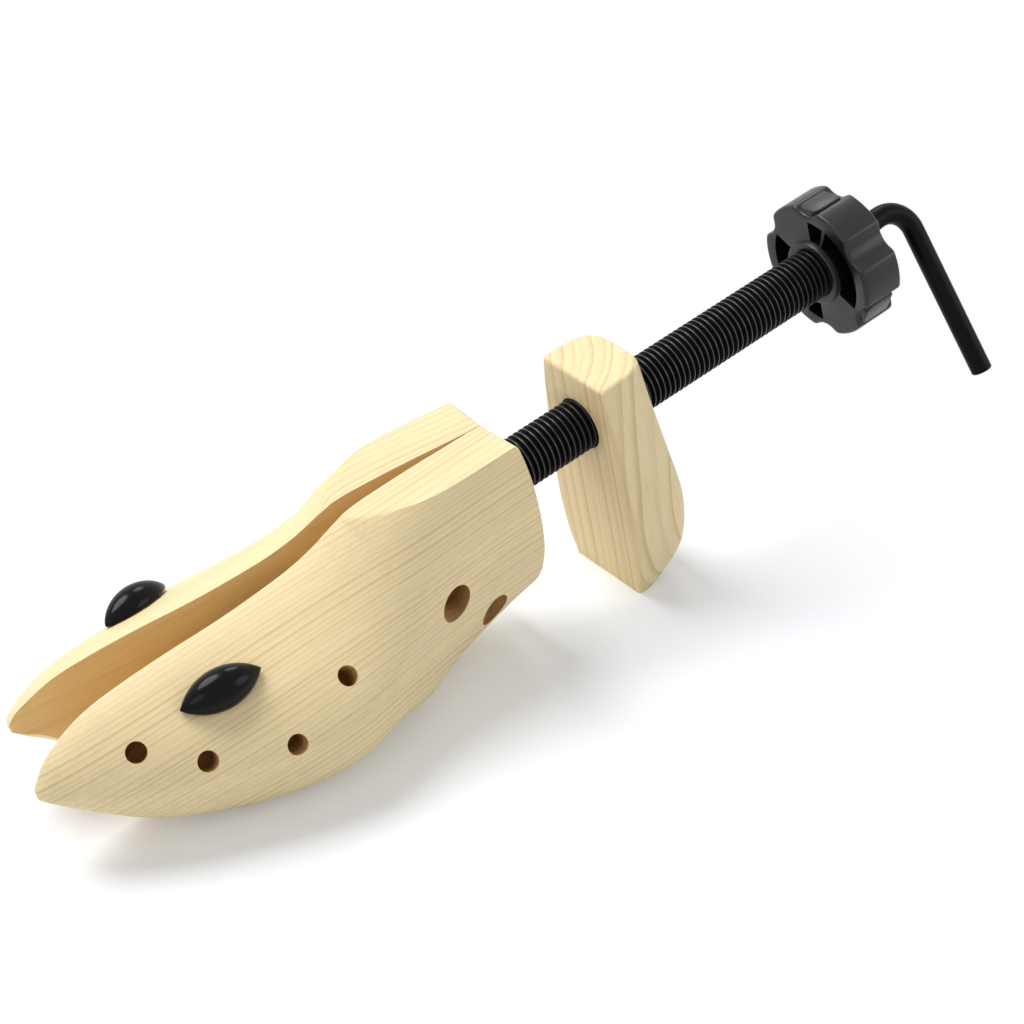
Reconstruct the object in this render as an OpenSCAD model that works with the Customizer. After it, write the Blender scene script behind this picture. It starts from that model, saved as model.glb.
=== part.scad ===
/* [Toe halves] */
// tail end to toe tip of each half, mm
toe_length = 188.8; // [180:0.2:195]
// widest half width at the ball of the foot, mm
ball_width = 42.2; // [38:0.2:44]
// angle each half stands open from the middle, degrees
open_angle = 3.6; // [3.4:0.1:3.8]
// saw gap left on each inner face, mm
saw_gap = 0.15; // [0.15:0.05:0.3]
// how much shorter the left toe is sanded, mm
left_toe_trim = 6.5; // [0:0.5:7]
// tilt of the screw line above the ground, degrees
tilt = 11.93; // [11.9:0.01:12]
// height of the screw line above the ground at its zero point, mm
line_height = 64; // [63.8:0.1:64.4]

/* [Plug holes and plugs] */
// radius of the small plug holes, mm
plug_hole_r = 3.4; // [3.3:0.05:3.6]
// depth of the small plug holes, mm
plug_hole_depth = 12.5; // [11.5:0.5:13]
// radius of the two large blind holes in each tail, mm
big_hole_r = 6.3; // [6:0.1:6.5]
// plug length from tip to tip, mm
plug_length = 29; // [27:0.5:30]
// plug width, mm
plug_width = 13.6; // [13:0.2:14.5]
// gap between the plug and the wood under it, at the middle, mm
plug_stand_off = 1; // [0.9:0.1:1.5]
// plug height above its flat base, mm
plug_height = 7.6; // [7:0.2:8]
// plug stem radius, mm
plug_stem_r = 3.32; // [3.3:0.01:3.34]

/* [Screw tube and knob] */
// outside radius of the screw tube, mm
tube_r = 9.5; // [9.5:0.01:9.52]
// radius of the plain journal in the tail bracket, mm
journal_r = 7.5; // [7.4:0.05:7.5]
// radius of the bore for the key rod, mm
rod_bore_r = 4.08; // [4.05:0.01:4.1]
// knob radius over its lobes, mm
knob_r = 26.2; // [25.6:0.1:26.4]
// knob thickness, mm
knob_thick = 17.4; // [17:0.1:18]
// how deep the six finger hollows are cut, mm
hollow_depth = 3; // [2.5:0.1:3.2]
// distance of the knob front along the screw line, mm
knob_at = 134.3; // [133:0.1:136]

/* [Heel block] */
// distance of the heel front along the screw line, mm
heel_at = 21.7; // [20:0.1:24]
// widest half width of the heel block, mm
heel_width = 22.2; // [21.5:0.1:23]
// deepest size of the heel block along the screw line, mm
heel_depth = 29.8; // [29:0.2:31]

/* [Key rod and spreader] */
// key rod radius, mm
rod_r = 4; // [3.98:0.01:4]
// distance of the bent leg along the screw line, mm
leg_at = 180.6; // [178:0.1:184]
// length of the bent leg from the screw line, mm
leg_length = 66.8; // [64:0.2:70]
// swing of the leg from straight down, degrees
leg_swing = 32; // [20:1:40]
// centre line radius of the bend, mm
bend_r = 11; // [10:0.5:13]
// half width of the spreader over its round cheeks, mm
spreader_half = 10; // [9.9:0.05:10]

/* [Hidden] */
// pieces of one bent rod run into each other by this much
lap = 0.05;
// the frame's zero lies under the middle of the whole part
origin_x = 4.71;
origin_y = 0;
// hinge line of both halves and tail end along the screw line
hinge_at = -22;
tail_at = -16;
tail_back = tail_at - hinge_at;
pin_y = 9;
pin_r = 2.5;
// one row a station: distance from hinge, half width, height of widest line, top, underside,
// upper power, lower power, lift of the underside's inner edge
half_rows = [
    [-6, 24.3, -3, 23.9, -44.6, 3.8, 2.1, 0],
    [8, 23.4, -3.5, 24.9, -46.8, 3.8, 2.2, 0],
    [24, 24.4, -4.5, 26.1, -49.2, 3.5, 2.3, 0],
    [40, 26.9, -6, 26.9, -50.6, 2.4, 2.5, 0],
    [52, 31, -8, 26.9, -50.1, 1.62, 2.8, 0],
    [60, 33.6, -9.2, 24.9, -48.4, 1.5, 2.85, 0],
    [68, 35.8, -10.2, 22.4, -46.4, 1.44, 2.7, 0],
    [78, 39.2, -11, 20.6, -44.4, 1.38, 2.7, 0],
    [90, 42.2, -11.2, 20, -41.9, 1.32, 2.85, 0],
    [108, 41, -9.8, 20.1, -38.1, 1.38, 3, 0],
    [128, 35.6, -6.8, 21.3, -33.8, 1.38, 2.8, 0],
    [148, 28.2, -3.5, 21.7, -25.5, 1.46, 2.7, 2.4],
    [160, 22.6, -1.2, 20.7, -17.5, 1.5, 2.8, 5.8],
    [170, 16.2, 0.8, 17.4, -8.5, 1.6, 2.9, 5.8],
    [177, 10.2, 2.2, 13.1, -2.6, 1.75, 2.7, 3.4],
    [181, 5.8, 3.2, 8.6, 0.6, 1.9, 2.2, 1.5],
    [182.8, 3, 3.8, 5.8, 2, 2, 2, 0.4]
];
width_scale = ball_width / 42.2;
length_scale = (toe_length - 6) / 182.8;
row_last = len(half_rows) - 1;
// slope of column c at row i, from its neighbours
function slope(t, c, i) = i == 0 ? (t[1][c] - t[0][c]) / (t[1][0] - t[0][0])
    : i == len(t) - 1 ? (t[i][c] - t[i - 1][c]) / (t[i][0] - t[i - 1][0])
    : (t[i + 1][c] - t[i - 1][c]) / (t[i + 1][0] - t[i - 1][0]);
// the row that starts the span holding s
function span_of(t, s, i) = i >= len(t) - 2 || s < t[i + 1][0] ? i : span_of(t, s, i + 1);
// smooth curve through column c at distance s
function along(t, c, s) = let(i = span_of(t, s, 0))
    let(h = t[i + 1][0] - t[i][0], f = (s - t[i][0]) / h)
    let(a = 2 * pow(f, 3) - 3 * pow(f, 2) + 1, b = pow(f, 3) - 2 * pow(f, 2) + f)
    let(d = pow(f, 3) - pow(f, 2))
    a * t[i][c] + b * h * slope(t, c, i) + (1 - a) * t[i + 1][c] + d * h * slope(t, c, i + 1);
// places where the toe half gets a section
half_stations = [-6, 0, 10, 20, 30, 38, 45, 51, 57, 61, 66, 72, 79, 87, 96, 106, 117, 128, 139, 149, 158, 165, 171, 176, 179.5, 181.6, 182.8];
half_turns = [90, 82, 73, 63, 53, 43, 33, 23, 12, 0, -13, -25, -36, -47, -57, -67, -76, -83, -90];
turns_last = len(half_turns) - 1;
stations_last = len(half_stations) - 1;
// the left toe is sanded shorter and higher over its last part
function toe_part(s) = s <= 150 ? 0 : (s - 150) / 32.8;
function trim_of(s, trim) = pow(toe_part(s), 2) * trim;
function inner_w(s) = s >= 0 ? saw_gap : saw_gap - s * tan(open_angle);
// half width of the flat on top of the tail, and the power of the side curve below its edge
flat_rows = [
    [-6, 18.2, 2.4],
    [24, 18.2, 2.4],
    [34, 16.8, 2.25],
    [44, 12.5, 2],
    [52, 6.5, 1.72],
    [57, 0, 1.55],
    [60, 0, 1.5]
];
flat_end = 57;
function flat_w(s) = max(0, along(flat_rows, 1, s)) * width_scale;
// height above the widest line of the side curve at w, cut off by the flat
function top_rise(s, w) = let(full = along(half_rows, 1, s) * width_scale, p = along(flat_rows, 2, s))
    let(high = along(half_rows, 3, s) - along(half_rows, 2, s), f = flat_w(s) / full)
    min(high, high * pow(max(0, 1 - pow(min(1, w / full), p)), 1 / p) / pow(1 - pow(f, p), 1 / p));
// place of turn i above the widest line: a few on the flat, the rest down the side
function upper_w(s, a) = let(full = along(half_rows, 1, s) * width_scale, e = flat_w(s))
    a >= 73 ? inner_w(s) + (90 - a) / 17 * max(0, e - inner_w(s))
    : let(start = max(e, inner_w(s)), f = (73 - a) / 73)
    let(q = asin(min(1, start / full))) full * sin(q + (90 - q) * f);
function half_w(s, a) = a >= 0 && s < flat_end ? upper_w(s, a)
    : let(full = along(half_rows, 1, s) * width_scale)
    let(power = a >= 0 ? along(half_rows, 5, s) : along(half_rows, 6, s))
    inner_w(s) + (full - inner_w(s)) * pow(max(0, cos(a)), 2 / power);
function half_v(s, a, trim) = let(mid = along(half_rows, 2, s), raise = pow(toe_part(s), 4) * trim * 1.1)
    let(rest = 1 - (half_w(s, a) - inner_w(s)) / (along(half_rows, 1, s) * width_scale - inner_w(s)))
    let(lift = along(half_rows, 7, s) * (1 + trim / 9) * rest * rest)
    a >= 0 && s < flat_end ? mid + raise + top_rise(s, half_w(s, a))
    : a >= 0 ? mid + raise + (along(half_rows, 3, s) - mid) * pow(sin(a), 2 / along(half_rows, 5, s))
    : mid + raise + lift - (mid - along(half_rows, 4, s)) * pow(sin(-a), 2 / along(half_rows, 6, s));
function half_ring(s, side, trim) = [
    for (a = half_turns) [-(s * length_scale - trim_of(s, trim)), side * half_w(s, a), half_v(s, a, trim)]
];
// triangles between ring i and the next one, turned to face outwards on either side
function strip(i, n, side) = [
    for (j = [0:n - 2]) for (k = [0, 1])
        let(p = i * n + j, q = (i + 1) * n + j)
        let(tri = k == 0 ? [p, p + 1, q] : [p + 1, q + 1, q])
        side < 0 ? tri : [tri[2], tri[1], tri[0]]
];
// heel rows: height, half width, depth, power
heel_rows = [
    [-76, 14.5, 4, 2.6],
    [-72.5, 16.6, 12.5, 2.8],
    [-67, 18.7, 21.5, 3],
    [-60, 20.8, 27.6, 3.2],
    [-50, 21.9, 29.6, 3.4],
    [-38, 22.2, 29.4, 3.6],
    [-20, 20.6, 26.6, 3.8],
    [0, 19, 23.4, 4],
    [21.4, 16.1, 21.3, 4]
];
heel_levels = [-76, -74, -71, -67, -62, -56, -49, -41, -32, -22, -11, 0, 11, 21.4];
heel_turns = [0, 3, 8, 16, 26, 38, 50, 60, 69, 77, 84, 90, 96, 103, 111, 120, 130, 142, 154, 164, 172, 177, 180];
heel_width_scale = heel_width / 22.2;
heel_depth_scale = heel_depth / 29.6;
function signed_pow(x, p) = x < 0 ? -pow(-x, p) : pow(x, p);
function heel_ring(v) = let(w = along(heel_rows, 1, v) * heel_width_scale)
    let(d = along(heel_rows, 2, v) * heel_depth_scale, p = 2 / along(heel_rows, 3, v))
    [for (a = heel_turns) [heel_at + d * pow(max(0, sin(a)), p), w * signed_pow(cos(a), p), v]];
// spreader path in the half's own frame, shut at the far end and open at the near end
spread_shut = 88;
spread_open = 68;
cheek_r = 7;
cheek_y = spreader_half - cheek_r;
path_open_s = spread_open * cos(open_angle) - (pin_y - cheek_y) * sin(open_angle);
path_open_w = cheek_y * cos(open_angle) - spread_open * sin(open_angle) + pin_y * (1 - cos(open_angle));
ramp_angle = atan((cheek_y - path_open_w) / (spread_shut - path_open_s));
ramp_gap = 0.35;
plate_thick = 1.6;
plate_high = 14;
plate_start = 59;
plate_end = 96;
function ramp_w(s) = cheek_y + (cheek_r + ramp_gap) / cos(ramp_angle) - (spread_shut - s) * tan(ramp_angle);
// tail bracket sizes along the screw line, measured from the hinge towards the toe
plate_from = 6;
plate_to = 11;
foot_low = -26;
foot_high = -22;
nut_from = 28;
nut_to = 41;
nut_r = 12;
wood_bore_r = 9.9;
axial_play = 0.3;
hub_r = 12.4;
hub_long = 2;
knob_back = knob_at + knob_thick;
tube_end = knob_back - 8;
collar_from = knob_back - 5;
collar_to = knob_back + 0.5;
collar_mid = knob_back - 2;
collar_pin_r = 1.25;
// the rod rises this much in a slack double curve before it turns down
rod_rise = 4.1;
slack_r = 16;
slack_turn = acos(1 - rod_rise / (2 * slack_r));
slack_from = collar_to + 1;
slack_to = slack_from + 2 * slack_r * sin(slack_turn);
// plug seat on the half: distance, out, up, and the way out of its hole
seat_s = 122.5;
seat_w = 18.4;
seat_v = 12.2;
seat_turn_up = 56;
// the left plug stands a little nearer the heel and is turned on its stem
left_seat_back = 2;
left_plug_turn = 18;
function seat_at(side) = seat_s - (side > 0 ? left_seat_back : 0);
// large blind holes: distance, out, up, lean towards toe, lean up, depth
big_holes = [
    [36.5, 26, -11.2, 14, 0, 18],
    [18.6, 19.8, -31.4, -8, -20, 11]
];
// small holes: distance, out, up, lean towards toe, lean up
small_holes = [
    [154.6, 17.3, 10.7, 20, 40],
    [138.5, 29, 1.1, 11, 33],
    [112.8, 38.7, -6.4, 9, 23],
    [86.6, 33.4, -0.4, -3, 47]
];

// which piece to draw

// puts a piece drawn on the screw line into the part's frame
module on_line() {
    translate([origin_x, origin_y, line_height])
    rotate([0, -tilt, 0])
    children();
}

// puts a piece drawn at its hinge onto the screw line, turned open to its own side
module on_half(side) {
    on_line()
    translate([hinge_at, side * pin_y, 0])
    rotate([0, 0, -side * open_angle])
    translate([0, -side * pin_y, 0])
    children();
}

// turns +Z to the way out of a plug hole
module hole_way(side, lean_toe, lean_up) {
    rotate([0, 0, side * (90 + lean_toe)])
    rotate([0, 90 - lean_up, 0])
    children();
}

module half_form(side, trim) {
    n = turns_last + 1;
    rings = [for (s = half_stations) each half_ring(s, side, trim)];
    skin = [for (i = [0:stations_last - 1]) each strip(i, n, side)];
    inner = [for (i = [0:stations_last - 1]) side < 0 ? [i * n + n - 1, i * n, (i + 1) * n, (i + 1) * n + n - 1]
        : [(i + 1) * n + n - 1, (i + 1) * n, i * n, i * n + n - 1]];
    // starts below the flat, so that its first three points lie on no line
    back = [for (j = [0:n - 1]) side < 0 ? n - 1 - j : (j + 6) % n];
    tip = [for (j = [0:n - 1]) stations_last * n + (side < 0 ? j : n - 1 - j)];
    polyhedron(points = rings, faces = concat(skin, inner, [back], [tip]), convexity = 6);
}

module ramp_block(side, w0, thick, s0, s1, high) {
    // solid between the ramp line moved out by w0 and the same line moved out by w0 + thick
    translate([0, 0, -high / 2])
    linear_extrude(height = high)
    polygon([
        [-s0, side * (ramp_w(s0) + w0)],
        [-s1, side * (ramp_w(s1) + w0)],
        [-s1, side * (ramp_w(s1) + w0 + thick)],
        [-s0, side * (ramp_w(s0) + w0 + thick)]
    ]);
}

// puts a thing at each of the four screw places, its +Z going into the wood
module at_ramp_screws(side) {
    for (s = [plate_start + 2.6, plate_end - 2.6])
        for (v = [-4, 4])
            translate([-s, side * ramp_w(s), v])
            rotate([0, 0, side * -ramp_angle])
            rotate([side * -90, 0, 0])
            children();
}

module screw_head() {
    cylinder(r1 = 2.6, r2 = 1.3, h = 1.3, $fn = 32);
}

module toe_half(side, trim) {
    difference() {
        half_form(side, trim);
        // way for the screw tube through the tail
        translate([-8, 0, 0])
        rotate([0, 90, 0])
        cylinder(r = 10.3, h = tail_back + 12, $fn = 64);
        // room for the washer, bracket and clip
        translate([-16.5, 0, 0])
        rotate([0, 90, 0])
        cylinder(r = 13.2, h = 13.4, $fn = 64);
        // mortise of the bracket's upright and foot
        translate([-12.2, side < 0 ? -9.2 : -1, -27])
        cube([7.4, 10.2, 27]);
        translate([-12.2, side < 0 ? -13.6 : -1, foot_low - 0.4])
        cube([16.2, 14.6, foot_high - foot_low + 0.8]);
        // groove for the key rod
        translate([-114, 0, 0])
        rotate([0, 90, 0])
        cylinder(r = 5, h = 104, $fn = 48);
        // spreader pocket with its sloping floor
        translate([0, 0, -7.5])
        linear_extrude(height = 15)
        polygon([
            [-plate_start, -side],
            [-plate_end, -side],
            [-plate_end, side * (ramp_w(plate_end) + plate_thick)],
            [-plate_start, side * (ramp_w(plate_start) + plate_thick)]
        ]);
        // holes of the plate screws
        at_ramp_screws(side)
        cylinder(r = 1.3, h = 9.6, $fn = 32);
        // bore of the hinge pin, driven in from below
        translate([0, side * pin_y, -60])
        cylinder(r = pin_r, h = 48, $fn = 48);
        // large blind holes in the side of the tail
        for (h = big_holes)
            translate([-h[0], side * h[1], h[2]])
            hole_way(side, h[3], h[4])
            translate([0, 0, -h[5]])
            cylinder(r = big_hole_r, h = 30, $fn = 64);
        // small plug holes
        for (h = small_holes)
            translate([-h[0], side * h[1], h[2]])
            hole_way(side, h[3], h[4])
            translate([0, 0, -plug_hole_depth])
            cylinder(r = plug_hole_r, h = plug_hole_depth + 12, $fn = 48);
        translate([-seat_at(side), side * seat_w, seat_v])
        hole_way(side, 2, seat_turn_up)
        translate([0, 0, -plug_hole_depth])
        cylinder(r = plug_hole_r, h = plug_hole_depth + 12, $fn = 48);
    }
}

// everything under the ground the part stands on
module ground() {
    translate([origin_x - 200, origin_y - 60, -30])
    cube([290, 120, 30]);
}

module toe_half_right() {
    color([0.87, 0.74, 0.52])
    difference() {
        on_half(-1)
        toe_half(-1, 0);
        ground();
    }
}

module toe_half_left() {
    color([0.87, 0.74, 0.52])
    difference() {
        on_half(1)
        toe_half(1, left_toe_trim);
        ground();
    }
}

module hinge_pin(side) {
    color([0.62, 0.63, 0.65])
    on_half(side)
    translate([0, side * pin_y, -41])
    cylinder(r = pin_r, h = 29, $fn = 48);
}

module wear_plate(side) {
    color([0.7, 0.71, 0.73])
    on_half(side)
    difference() {
        ramp_block(side, 0, plate_thick, plate_start, plate_end, plate_high);
        at_ramp_screws(side) {
            screw_head();
            translate([0, 0, -1])
            cylinder(r = 2.6, h = 1, $fn = 32);
            cylinder(r = 1.3, h = 4, $fn = 32);
        }
    }
}

module wear_screws(side) {
    color([0.78, 0.72, 0.45])
    on_half(side)
    at_ramp_screws(side)
    union() {
        screw_head();
        cylinder(r = 1.3, h = 9, $fn = 32);
    }
}

// a flat-based spindle with pointed ends on a round stem
module bunion_plug(side) {
    base_drop = plug_height - plug_width / 2;
    arc_r = (pow(plug_length / 2, 2) + pow(plug_width / 2, 2)) / plug_width;
    color([0.03, 0.03, 0.035])
    on_half(side)
    translate([-seat_at(side), side * seat_w, seat_v])
    hole_way(side, 2, seat_turn_up)
    rotate([0, 0, side * -84 + (side > 0 ? left_plug_turn : 0)])
    union() {
        translate([0, 0, plug_stand_off])
        difference() {
            translate([0, 0, base_drop])
            rotate([0, 90, 0])
            rotate_extrude($fn = 64)
            intersection() {
                translate([plug_width / 2 - arc_r, 0])
                circle(r = arc_r, $fn = 128);
                translate([0, -plug_length / 2])
                square([plug_width, plug_length]);
            }
            translate([-plug_length, -plug_width, -plug_width])
            cube([2 * plug_length, 2 * plug_width, plug_width]);
        }
        translate([0, 0, -plug_hole_depth + 1])
        cylinder(r = plug_stem_r, h = plug_hole_depth + 0.5, $fn = 48);
    }
}

// bent plate that holds the tube's journal and both hinge pins
module tail_bracket() {
    color([0.55, 0.56, 0.58])
    on_line()
    difference() {
        union() {
            translate([hinge_at - plate_to, 0, 0])
            rotate([0, 90, 0])
            cylinder(r = 12, h = plate_to - plate_from, $fn = 64);
            translate([hinge_at - plate_to, -8, foot_low])
            cube([plate_to - plate_from, 16, -foot_low]);
            translate([hinge_at - plate_to, -12.6, foot_low])
            cube([plate_to, 25.2, foot_high - foot_low]);
            for (y = [-pin_y, pin_y])
                translate([hinge_at, y, foot_low])
                cylinder(r = 3.6, h = foot_high - foot_low, $fn = 48);
        }
        translate([hinge_at - plate_to - 1, 0, 0])
        rotate([0, 90, 0])
        cylinder(r = journal_r + 0.05, h = plate_to, $fn = 64);
        for (y = [-pin_y, pin_y])
            translate([hinge_at, y, foot_low - 1])
            cylinder(r = pin_r + 0.05, h = 8, $fn = 48);
    }
}

// plain hollow tube at the thread's crest, with a shoulder, a journal and a clip groove
module screw_tube() {
    color([0.05, 0.05, 0.055])
    on_line()
    rotate([0, 90, 0])
    difference() {
        union() {
            translate([0, 0, hinge_at - 4])
            cylinder(r = tube_r, h = tube_end - hinge_at + 4, $fn = 96);
            translate([0, 0, hinge_at - 14.5])
            cylinder(r = journal_r, h = 11, $fn = 64);
        }
        translate([0, 0, hinge_at - plate_to - axial_play - 1.4])
        difference() {
            cylinder(r = tube_r, h = 1.4, $fn = 64);
            translate([0, 0, -1])
            cylinder(r = 6.6, h = 4, $fn = 64);
        }
        translate([0, 0, hinge_at - 20])
        cylinder(r = rod_bore_r, h = tube_end - hinge_at + 40, $fn = 48);
    }
}

module thrust_washer() {
    color([0.8, 0.68, 0.35])
    on_line()
    translate([hinge_at - plate_from + axial_play, 0, 0])
    rotate([0, 90, 0])
    difference() {
        cylinder(r = 11.8, h = 1.7, $fn = 64);
        translate([0, 0, -1])
        cylinder(r = journal_r, h = 4, $fn = 64);
    }
}

// open ring sprung into the journal's groove
module tube_clip() {
    color([0.35, 0.35, 0.37])
    on_line()
    translate([hinge_at - plate_to - axial_play - 1.4, 0, 0])
    rotate([0, 90, 0])
    difference() {
        cylinder(r = 9.6, h = 1.4, $fn = 64);
        translate([0, 0, -1])
        cylinder(r = 6.6, h = 4, $fn = 64);
        translate([0, -3, -1])
        cube([20, 6, 4]);
    }
}

// knob with six broad lobes, a proud hub ring, two ribbed front pockets and three thumb pads
module star_knob() {
    color([0.04, 0.04, 0.045])
    on_line()
    translate([knob_at, 0, 0])
    rotate([0, 90, 0])
    difference() {
        union() {
            difference() {
                intersection() {
                    cylinder(r = knob_r, h = knob_thick, $fn = 96);
                    translate([0, 0, -4])
                    cylinder(r1 = knob_r - 5.5, r2 = knob_r + 16.5, h = 22, $fn = 96);
                    translate([0, 0, knob_thick - 18])
                    cylinder(r1 = knob_r + 16.5, r2 = knob_r - 5.5, h = 22, $fn = 96);
                }
                for (k = [0:5])
                    rotate([0, 0, 60 * k + 54])
                    translate([knob_r - hollow_depth + 8.2, 0, -1])
                    cylinder(r = 8.2, h = knob_thick + 2, $fn = 64);
            }
            translate([0, 0, -hub_long])
            cylinder(r = hub_r, h = hub_long + 1, $fn = 64);
            for (k = [0:2])
                rotate([0, 0, 120 * k + 54])
                translate([knob_r - hollow_depth - 1.4, 0, 0])
                thumb_pad();
        }
        // two deep pockets beside the hub, each with one thin rib across it
        for (turn = [0, 180])
            for (part = [[-5, 21], [20, 93]])
                rotate([0, 0, turn + part[0]])
                rotate_extrude(angle = part[1], $fn = 64)
                translate([hub_r + 0.4, -1])
                square([8, 7]);
        translate([0, 0, -hub_long - 1])
        cylinder(r = tube_r, h = tube_end - knob_at + hub_long + 1, $fn = 96);
        cylinder(r = rod_bore_r + 0.4, h = knob_thick + 5, $fn = 48);
        // seat of the washer and collar at the back
        translate([0, 0, collar_from - knob_at - 1.2 - axial_play])
        cylinder(r = 9.6, h = 20, $fn = 64);
        translate([0, 0, knob_thick - 1.5])
        difference() {
            cylinder(r = 19.5, h = 4, $fn = 64);
            translate([0, 0, -1])
            cylinder(r = 13, h = 6, $fn = 64);
        }
    }
}

// raised pad in a finger hollow, round at its front end, drawn lying outwards along X
module thumb_pad() {
    pad_half = 4.6;
    pad_high = 3.8;
    corner = 2.8;
    rotate([0, 90, 0]) {
        translate([3.6 - knob_thick, -pad_half, 0])
        cube([knob_thick - 3.6 - corner, 2 * pad_half, pad_high]);
        translate([-corner - 1, corner - pad_half, 0])
        cube([corner, 2 * (pad_half - corner), pad_high]);
        for (y = [-1, 1])
            translate([-corner - 1, y * (pad_half - corner), 0])
            cylinder(r = corner, h = pad_high, $fn = 32);
    }
}

module heel_form() {
    n = len(heel_turns);
    m = len(heel_levels);
    rings = [for (v = heel_levels) each heel_ring(v)];
    skin = [for (i = [0:m - 2]) for (j = [0:n - 2]) for (k = [0, 1])
        let(p = i * n + j, q = (i + 1) * n + j)
        k == 0 ? [p, q, p + 1] : [p + 1, q, q + 1]];
    front = [for (i = [0:m - 2]) [i * n + n - 1, (i + 1) * n + n - 1, (i + 1) * n, i * n]];
    low = [for (j = [0:n - 1]) j];
    high = [for (j = [0:n - 1]) (m - 1) * n + n - 1 - j];
    polyhedron(points = rings, faces = concat(skin, front, [low], [high]), convexity = 4);
}

module heel_block() {
    color([0.87, 0.74, 0.52])
    difference() {
        on_line()
        difference() {
            heel_form();
            translate([heel_at - 5, 0, 0])
            rotate([0, 90, 0])
            cylinder(r = wood_bore_r, h = 60, $fn = 96);
            translate([nut_from, 0, 0])
            rotate([0, 90, 0])
            cylinder(r = nut_r, h = 40, $fn = 64);
        }
        ground();
    }
}

module heel_nut() {
    color([0.05, 0.05, 0.055])
    on_line()
    translate([nut_from, 0, 0])
    rotate([0, 90, 0])
    difference() {
        cylinder(r = nut_r, h = nut_to - nut_from, $fn = 64);
        translate([0, 0, -1])
        cylinder(r = tube_r + 0.08, h = nut_to - nut_from + 2, $fn = 96);
    }
}

// a bend of the rod in the plane of its leg, round the given centre
module rod_bend(x, z, r, from, turn) {
    translate([x, 0, z])
    rotate([90, 0, 0])
    rotate([0, 0, from])
    rotate_extrude(angle = turn, $fn = 48)
    translate([r, 0])
    circle(r = rod_r, $fn = 48);
}

// round rod with a slack double curve and a right-angle bend, its far end screwed into the spreader
module spread_key() {
    color([0.05, 0.05, 0.055])
    on_line()
    union() {
        difference() {
            translate([hinge_at - 104, 0, 0])
            rotate([0, 90, 0])
            cylinder(r = rod_r, h = slack_from - hinge_at + 104 + lap, $fn = 48);
            translate([collar_mid, 0, -10])
            cylinder(r = collar_pin_r + 0.05, h = 20, $fn = 24);
        }
        rotate([-leg_swing, 0, 0]) {
            rod_bend(slack_from, slack_r, slack_r, -90, slack_turn + 0.2);
            rod_bend(slack_to, rod_rise - slack_r, slack_r, 90, slack_turn);
            translate([slack_to - lap, 0, rod_rise])
            rotate([0, 90, 0])
            cylinder(r = rod_r, h = leg_at - bend_r - slack_to + 2 * lap, $fn = 48);
            rod_bend(leg_at - bend_r, rod_rise - bend_r, bend_r, 0, 90);
            translate([leg_at, 0, -leg_length])
            cylinder(r = rod_r, h = leg_length - bend_r + rod_rise + lap, $fn = 48);
        }
    }
}

module key_washer() {
    color([0.8, 0.68, 0.35])
    on_line()
    translate([collar_from - 1.2, 0, 0])
    rotate([0, 90, 0])
    difference() {
        cylinder(r = 8.5, h = 1.2, $fn = 64);
        translate([0, 0, -1])
        cylinder(r = rod_r, h = 4, $fn = 48);
    }
}

module key_collar() {
    color([0.5, 0.51, 0.53])
    on_line()
    difference() {
        translate([collar_from, 0, 0])
        rotate([0, 90, 0])
        difference() {
            cylinder(r = 8, h = collar_to - collar_from, $fn = 64);
            translate([0, 0, -1])
            cylinder(r = rod_r, h = 9, $fn = 48);
        }
        translate([collar_mid, 0, -10])
        cylinder(r = collar_pin_r + 0.05, h = 20, $fn = 24);
    }
}

module collar_pin() {
    color([0.7, 0.71, 0.73])
    on_line()
    translate([collar_mid, 0, -7.8])
    cylinder(r = collar_pin_r, h = 15.6, $fn = 24);
}

// block with two round cheeks that runs on the sloping plates
module spreader() {
    color([0.5, 0.51, 0.53])
    on_line()
    translate([hinge_at - spread_open, 0, 0])
    difference() {
        union() {
            for (y = [-cheek_y, cheek_y])
                translate([0, y, -6.8])
                cylinder(r = cheek_r, h = 13.6, $fn = 64);
            translate([-cheek_r, -cheek_y, -6.8])
            cube([2 * cheek_r, 2 * cheek_y, 13.6]);
        }
        translate([-20, 0, 0])
        rotate([0, 90, 0])
        cylinder(r = rod_r + 0.5, h = 40, $fn = 48);
        translate([-20, 0, 0])
        rotate([0, 90, 0])
        cylinder(r = 5.8, h = 20, $fn = 64);
    }
}

module spreader_nut() {
    color([0.72, 0.64, 0.4])
    on_line()
    translate([hinge_at - spread_open - 6, 0, 0])
    rotate([0, 90, 0])
    difference() {
        cylinder(r = 5.8, h = 6, $fn = 64);
        translate([0, 0, -1])
        cylinder(r = rod_r + 0.06, h = 8, $fn = 48);
    }
}

toe_half_right();
toe_half_left();
hinge_pin(-1);  // hinge_pin_right
hinge_pin(1);  // hinge_pin_left
wear_plate(-1);  // wear_plate_right
wear_plate(1);  // wear_plate_left
wear_screws(-1);  // wear_screws_right
wear_screws(1);  // wear_screws_left
bunion_plug(-1);  // bunion_plug_right
bunion_plug(1);  // bunion_plug_left
tail_bracket();
screw_tube();
thrust_washer();
tube_clip();
star_knob();
heel_block();
heel_nut();
spread_key();
key_washer();
key_collar();
collar_pin();
spreader();
spreader_nut();
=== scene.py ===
import math
import bmesh
import bpy
from mathutils import Matrix, Vector


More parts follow.
